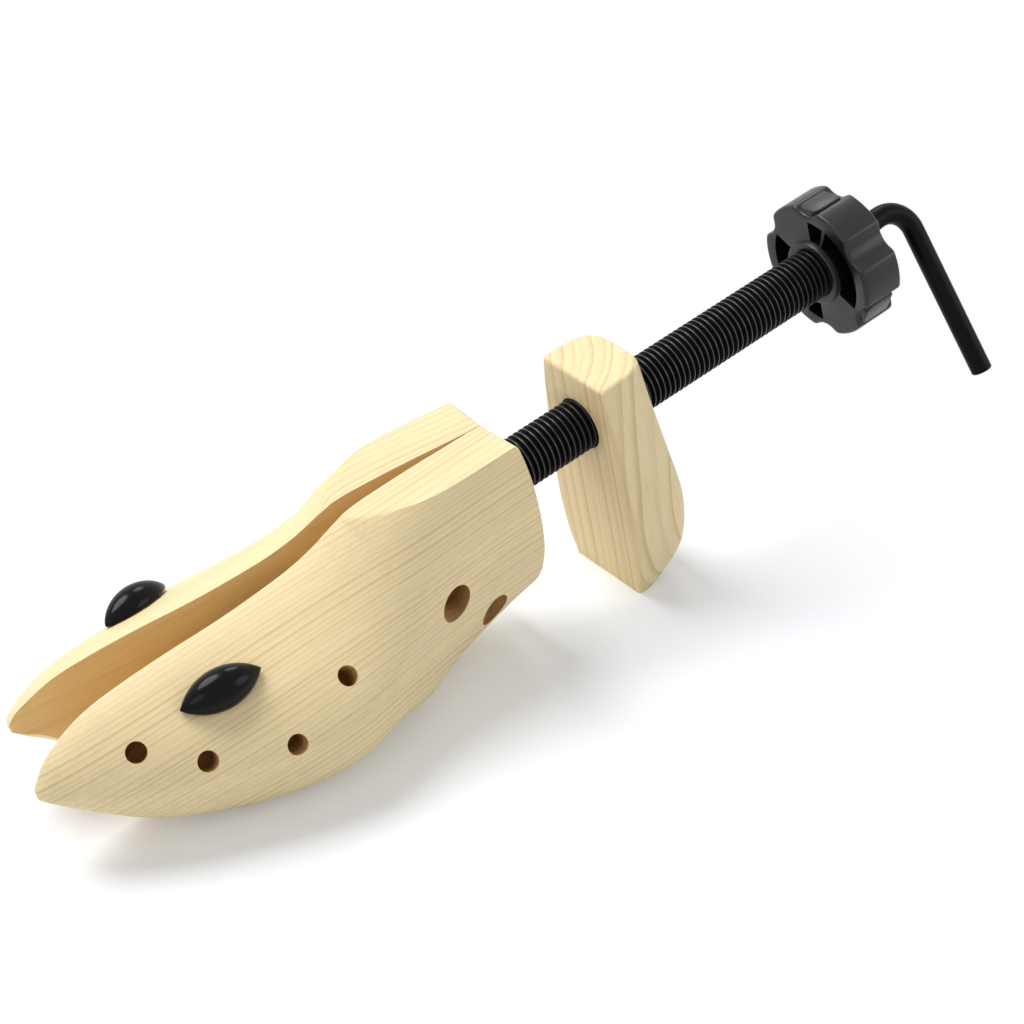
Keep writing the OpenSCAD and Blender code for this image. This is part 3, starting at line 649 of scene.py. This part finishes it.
def knob_pocket(first, sweep):
    steps = max(8, sweep // 2)
    bm = bmesh.new()
    rings = []
    for k in range(steps + 1):
        a = math.radians(first + sweep * k / steps)
        section = ((-1, 12.8), (-1, 20.9), (6, 20.6), (6, 13.1))
        rings.append([bm.verts.new((z, r * math.sin(a), -r * math.cos(a))) for z, r in section])
    for a, b in zip(rings, rings[1:]):
        bridge(bm, a, b)
    bm.faces.new(rings[0])
    bm.faces.new(rings[-1])
    bmesh.ops.recalc_face_normals(bm, faces=bm.faces)
    return new_object("cutter", bm, knob_place, False)


def thumb_pads():
    back, half, corner = 13.8, 4.6, 2.8
    low_r, high_r = 21.8, 25.6
    outline = [(back, -half), (back, half)]
    for y, start in ((half - corner, 90), (corner - half, 180)):
        turns = [math.radians(start + 15 * q) for q in range(7)]
        outline += [(1 + corner + corner * math.cos(a), y + corner * math.sin(a)) for a in turns]
    bm = bmesh.new()
    for k in range(3):
        place = turned("X", 120 * k + HOLLOW_FROM) @ Matrix.Diagonal((1, 1, -1, 1))
        low = [bm.verts.new(place @ Vector((z, y, low_r))) for z, y in outline]
        high = [bm.verts.new(place @ Vector((z, y, high_r))) for z, y in outline]
        bm.faces.new(low)
        bm.faces.new(high)
        bridge(bm, low, high)
    bmesh.ops.recalc_face_normals(bm, faces=bm.faces)
    return bm


satin_plastic = black("satin_plastic", (0.008, 0.008, 0.009), 0.33, 900, 0.12, 0.40)
knob_place = line_place @ Matrix.Translation((KNOB_U, 0, 0))
knob = new_object("star_knob_body", star_knob(), knob_place)
knob.data.materials.append(satin_plastic)
# the pockets' walls take the tube's darker, duller black: painted shade in the recesses
knob.data.materials.append(thread_plastic_and_pocket_shade)
# each pocket is crossed by one thin rib
for turn in (0, 180):
    cut(knob, knob_pocket(turn - 5, 21), 1)
    cut(knob, knob_pocket(turn + 20, 93), 1)
round_edges(knob, 0.35, 2, 55, 40)
dress(knob, "screw", "black_plastic", "star_knob")
pads = new_object("star_knob_pads", thumb_pads(), knob_place)
pads.data.materials.append(satin_plastic)
round_edges(pads, 0.6, 3, 50, 45)
dress(pads, "screw", "black_plastic")


# Spreader key. An 8 mm steel rod, enamelled black: it leaves the knob, rises a
# little and turns down into the leg that is the handle. A washer and a pinned
# collar hold it at the knob's back.
KEY_R = 4.0
KEY_SWING = -32


def key_path():
    rise, slack_r, bend_r, leg, leg_end, slack_from = 4.1, 16.0, 11.0, 180.6, -66.8, 153.3
    slack = math.acos(1 - rise / (2 * slack_r))
    slack_to = slack_from + 2 * slack_r * math.sin(slack)
    pts = [(-126.0, 0.0), (slack_from, 0.0)]
    for i in range(1, 13):
        a = slack * i / 12
        pts.append((slack_from + slack_r * math.sin(a), slack_r * (1 - math.cos(a))))
    for i in range(1, 13):
        a = slack * (1 - i / 12)
        pts.append((slack_to - slack_r * math.sin(a), rise - slack_r * (1 - math.cos(a))))
    for i in range(33):
        a = math.pi / 2 * i / 32
        pts.append((leg - bend_r + bend_r * math.sin(a), rise - bend_r + bend_r * math.cos(a)))
    pts.append((leg, leg_end))
    kept = [pts[0]]
    for p in pts[1:]:
        if math.dist(p, kept[-1]) > 0.02:
            kept.append(p)
    return kept


def key_rod():
    facets, chamfer = 48, 0.5
    pts = key_path()
    bm = bmesh.new()

    def ring(p, d, r):
        middle = Vector((p[0], 0, p[1]))
        normal = Vector((-d[1], 0, d[0])).normalized()
        level = Vector((0, 1, 0))
        turns = [2 * math.pi * k / facets for k in range(facets)]
        return [bm.verts.new(middle + r * (math.cos(a) * normal + math.sin(a) * level)) for a in turns]

    rings = []
    last = len(pts) - 1
    for i, p in enumerate(pts):
        before, after = pts[max(i - 1, 0)], pts[min(i + 1, last)]
        d = Vector((after[0] - before[0], after[1] - before[1])).normalized()
        if 0 < i < last:
            rings.append(ring(p, d, KEY_R))
            continue
        inward = chamfer if i == 0 else -chamfer
        outer = ring(p, d, KEY_R - chamfer)
        inner = ring((p[0] + inward * d[0], p[1] + inward * d[1]), d, KEY_R)
        rings += [outer, inner] if i == 0 else [inner, outer]
    for a, b in zip(rings, rings[1:]):
        bridge(bm, a, b)
    bm.faces.new(rings[0][::-1])
    bm.faces.new(rings[-1])
    bmesh.ops.recalc_face_normals(bm, faces=bm.faces)
    return new_object("spread_key_rod", bm, line_place @ turned("X", KEY_SWING))


key = key_rod()
key.data.materials.append(black("black_enamel", (0.0025, 0.0025, 0.003), 0.34, 700, 0.12, 0.09))
sharpen(key, 40)
dress(key, "key", "black_steel", "spread_key")


# Bunion plugs. Glossy black moulded almonds on a round stem, pushed into one
# of the small holes in each half; they press out a bump in the shoe.
PLUG_LENGTH = 29.0
PLUG_WIDTH = 13.6
PLUG_HEIGHT = 7.6
PLUG_STAND_OFF = 1.0
STEM_R = 3.32


def plug_shape():
    # sections of a turned almond, cut off flat below
    arc = ((PLUG_LENGTH / 2) ** 2 + (PLUG_WIDTH / 2) ** 2) / PLUG_WIDTH
    drop = PLUG_HEIGHT - PLUG_WIDTH / 2
    bm = bmesh.new()
    rings = []
    for i in range(49):
        x = math.sin(math.pi / 2 * (i / 24 - 1)) * PLUG_LENGTH / 2 * 0.999
        r = max(PLUG_WIDTH / 2 - arc + math.sqrt(arc * arc - x * x), 0.02)
        low = math.asin(max(-1.0, -drop / r))
        turns = [low + (math.pi - 2 * low) * k / 24 for k in range(25)]
        rings.append([bm.verts.new((x, r * math.cos(a), max(0.0, drop + r * math.sin(a)))) for a in turns])
    for a, b in zip(rings, rings[1:]):
        bridge(bm, a, b)
    bm.faces.new(rings[0])
    bm.faces.new(rings[-1][::-1])
    bmesh.ops.remove_doubles(bm, verts=bm.verts, dist=1e-4)
    bmesh.ops.dissolve_degenerate(bm, dist=1e-4, edges=bm.edges)
    # the stem and its chamfered end
    for end_r, depth, middle in ((3.0, 0.4, -12.3), (STEM_R, 12.6, -5.8)):
        made = bmesh.ops.create_cone(bm, cap_ends=True, segments=48, radius1=end_r, radius2=STEM_R,
                                     depth=depth)
        bmesh.ops.translate(bm, verts=made["verts"], vec=(0, 0, middle))
    bmesh.ops.recalc_face_normals(bm, faces=bm.faces)
    return bm


gloss_plastic = black("gloss_plastic", (0.002, 0.002, 0.0028), 0.15, 400, 0.02, 0.13)
for side, name, plug_turn in ((-1, "right", 84), (1, "left", -66)):
    seat = (half_place(side) @ Matrix.Translation((-seat_at(side), side * SEAT_W, SEAT_V))
            @ hole_way(side, *SEAT_LEAN) @ turned("Z", plug_turn)
            @ Matrix.Translation((0, 0, PLUG_STAND_OFF)))
    plug = new_object("bunion_plug_%s_moulding" % name, plug_shape(), seat)
    plug.data.materials.append(gloss_plastic)
    round_edges(plug, 0.4, 3, 50, 60)
    dress(plug, "plug_" + name, "gloss_black", "bunion_plug_" + name)


# Small pieces inside: bracket, pins, plates, screws, washers, clip, collar,
# wedge and nuts, of zinc-plated steel, brass, cast zinc and black plastic.
# They keep their exact shapes and only get a worn finish.
def metal(name, colour, rough, grain):
    mat, tree, bsdf = new_material(name)
    coord = add(tree, "TexCoord", {})
    mottle = add(tree, "TexNoise", {"Vector": coord.outputs["Object"], "Scale": grain, "Detail": 4.0})
    noise = mottle.outputs["Fac"]
    shade = add(tree, "Mix", {"Factor": noise, "A": (*[c * 0.8 for c in colour], 1),
                              "B": (*[min(1, c * 1.12) for c in colour], 1)}, data_type="RGBA")
    polish = add(tree, "MapRange", {"Value": noise, "To Min": rough - 0.08, "To Max": rough + 0.12})
    feed(tree, bsdf, {"Metallic": 1.0, "Base Color": shade.outputs["Result"],
                      "Roughness": polish.outputs[0]})
    return mat


finishes = {
    metal("zinc_plate", (0.60, 0.61, 0.63), 0.32, 600): (
        "hinge_pin_right", "hinge_pin_left", "wear_plate_right", "wear_plate_left", "tail_bracket",
        "tube_clip", "key_collar", "collar_pin"),
    metal("turned_brass", (0.72, 0.56, 0.26), 0.3, 800): (
        "wear_screws_right", "wear_screws_left", "thrust_washer", "key_washer", "spreader_nut"),
    metal("cast_zinc", (0.42, 0.43, 0.45), 0.5, 900): ("spreader",),
    thread_plastic_and_pocket_shade: ("heel_nut",),
}
for mat, names in finishes.items():
    for n in names:
        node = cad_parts[n]
        node.data.materials.clear()
        node.data.materials.append(mat)


# Stage. A white floor that keeps the shadow, and a white surround. To the
# camera and in reflections both are plain white away from the stretcher.
def seen_directly(tree):
    path = add(tree, "LightPath", {})
    total = path.outputs["Is Camera Ray"]
    for other in ("Is Glossy Ray", "Is Transmission Ray"):
        more = add(tree, "Math", {0: total, 1: path.outputs[other]}, operation="ADD", use_clamp=True)
        total = more.outputs[0]
    return total


bpy.ops.mesh.primitive_plane_add(size=12, location=(0, 0, 0))
floor = bpy.context.object
floor.name = "floor"
floor_mat, tree, paper = new_material("floor")
seen = seen_directly(tree)
glow = add(tree, "Math", {0: seen, 1: 0.18}, operation="MULTIPLY")
feed(tree, paper, {"Base Color": (0.835, 0.86, 0.90, 1), "Roughness": 0.9, "Specular IOR Level": 0.0,
                   "Emission Color": (1, 1, 1, 1), "Emission Strength": glow.outputs[0]})
# the distance from a point between ball and heel block
spot = add(tree, "TexCoord", {})
moved = add(tree, "Mapping", {"Vector": spot.outputs["Object"], "Location": (0.055, 0.02, 0)})
away = add(tree, "VectorMath", {0: moved.outputs[0]}, operation="LENGTH")
far = add(tree, "MapRange", {"Value": away.outputs["Value"], "From Min": 0.13, "From Max": 0.205},
          interpolation_type="SMOOTHSTEP")
plain = add(tree, "Math", {0: seen, 1: far.outputs[0]}, operation="MULTIPLY")
white = add(tree, "Emission", {"Strength": 1.0})
blend = add(tree, "MixShader", {0: plain.outputs[0], 1: paper.outputs[0], 2: white.outputs[0]})
feed(tree, tree.nodes["Material Output"], {"Surface": blend.outputs[0]})
floor.data.materials.append(floor_mat)

world = bpy.data.worlds.new("studio")
bpy.context.scene.world = world
world.use_nodes = True
tree = world.node_tree
level = add(tree, "MapRange", {"Value": seen_directly(tree), "To Min": 0.34, "To Max": 1.0})
feed(tree, tree.nodes["Background"], {"Color": (1, 1, 1, 1), "Strength": level.outputs[0]})


# Lamps. A large soft one above and behind, and weaker ones that open up the
# toe, the near side and the knob's lobes.
def area_light(name, place, aim, size, power):
    data = bpy.data.lights.new(name, "AREA")
    data.shape = "DISK"
    data.size = size
    data.energy = power
    lamp = bpy.data.objects.new(name, data)
    bpy.context.scene.collection.objects.link(lamp)
    lamp.location = place
    lamp.rotation_euler = (Vector(aim) - Vector(place)).to_track_quat("-Z", "Y").to_euler()


area_light("key_light", (-0.40, 0.78, 1.48), (-0.02, 0, 0.03), 1.1, 25)
area_light("fill_light", (-1.5, -0.5, 0.9), (0, 0, 0.04), 1.0, 3.2)
area_light("side_light", (1.1, -1.1, 0.75), (0, 0, 0.04), 1.0, 4.8)
area_light("rim_light", (0.85, 0.95, 1.35), (0.10, 0, 0.08), 0.6, 4.5)

# Camera, at the photograph's angle.
CAMERA_TURN = math.radians(-38.162)
CAMERA_RISE = math.radians(33.256)
camera_data = bpy.data.cameras.new("camera")
camera_data.lens = 84.54
camera_data.sensor_width = 36
camera = bpy.data.objects.new("camera", camera_data)
bpy.context.scene.collection.objects.link(camera)
reach = math.cos(CAMERA_RISE)
back = Vector((math.sin(CAMERA_TURN) * reach, -math.cos(CAMERA_TURN) * reach, math.sin(CAMERA_RISE)))
camera.location = Vector((-0.43565 + 0.00471, -0.54343, 0.43327 + 0.064))
camera.rotation_euler = back.to_track_quat("Z", "Y").to_euler()
bpy.context.scene.camera = camera
bpy.context.scene.view_settings.view_transform = "Standard"
bpy.context.scene.view_settings.look = "None"
